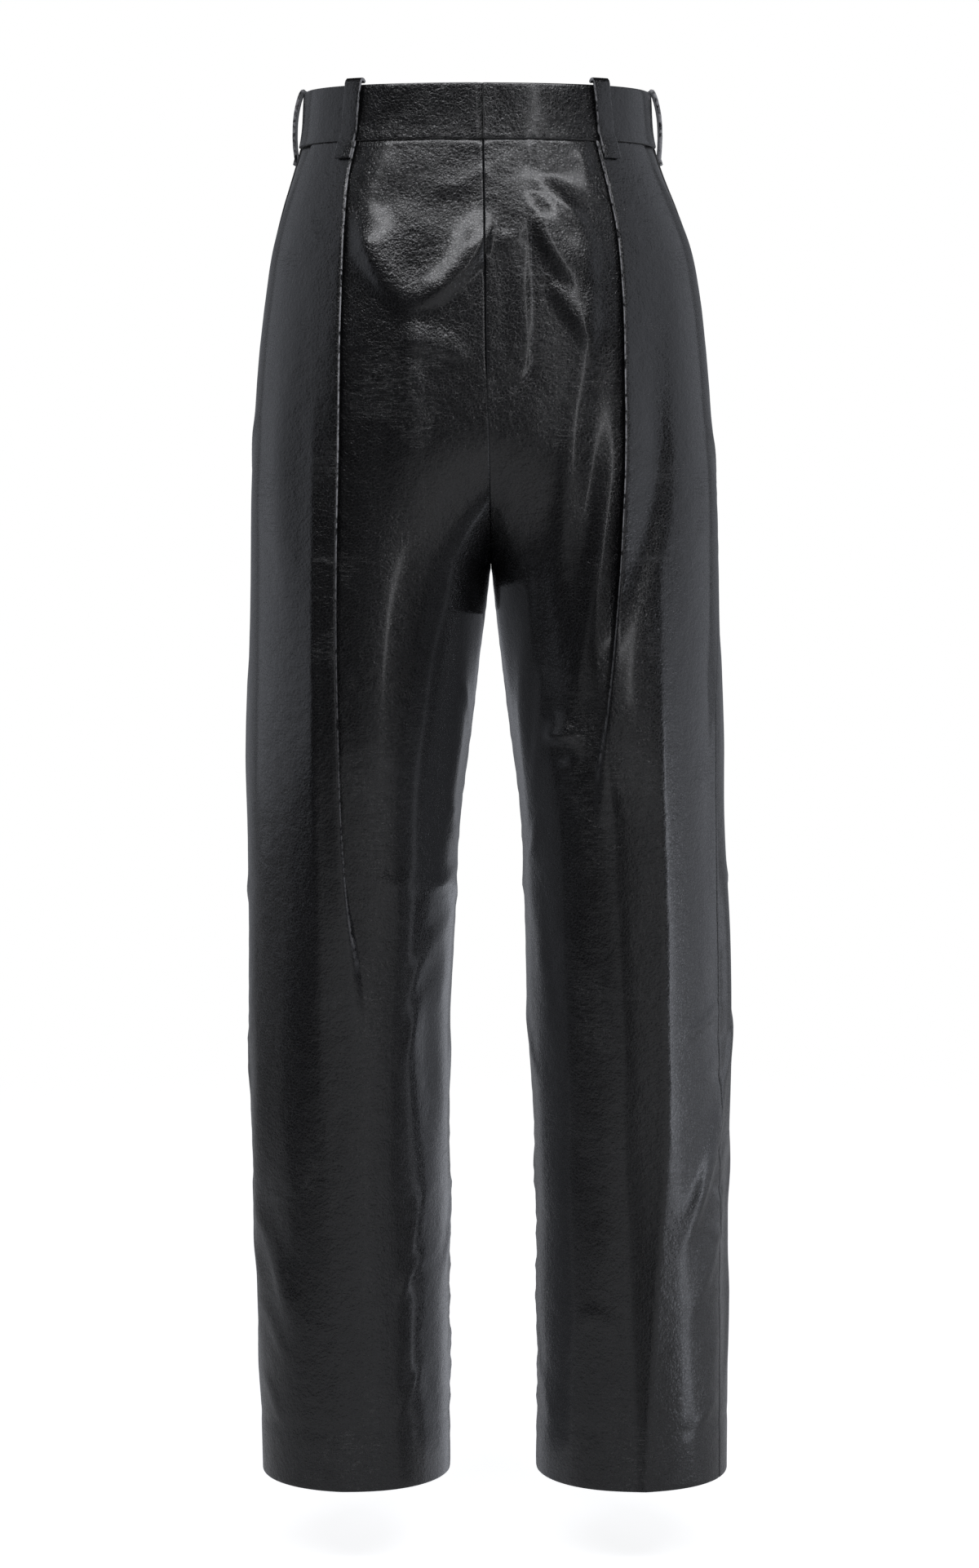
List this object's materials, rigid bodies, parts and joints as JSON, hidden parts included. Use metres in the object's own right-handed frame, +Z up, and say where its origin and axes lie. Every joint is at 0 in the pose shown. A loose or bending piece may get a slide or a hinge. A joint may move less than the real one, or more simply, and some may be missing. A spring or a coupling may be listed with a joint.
{
  "type": "leather trousers",
  "caption": "Wide straight high-waisted leather trousers with a forward pleat and pressed crease on each leg, a fly front, slanted pockets and belt loops, filled out as worn.",
  "frame": {"origin": "middle of the waist opening, level with the waistband's top edge", "axes": "+Z up, -Y towards the front of the trousers, +X towards the wearer's left"},
  "size_m": [0.3792, 0.235, 1.0831],
  "materials": {
    "leather": "smooth black garment leather with a soft gloss"
  },
  "bodies": {
    "root": {"front_left": "leather", "front_right": "leather", "back_left": "leather", "back_right": "leather", "waistband_left": "leather", "waistband_right": "leather", "fly_shield": "leather", "pocket_facing_left": "leather", "pocket_facing_right": "leather", "belt_loop_front_left": "leather", "belt_loop_front_right": "leather", "belt_loop_side_left": "leather", "belt_loop_side_right": "leather", "belt_loop_back": "leather"}
  },
  "joints": []
}
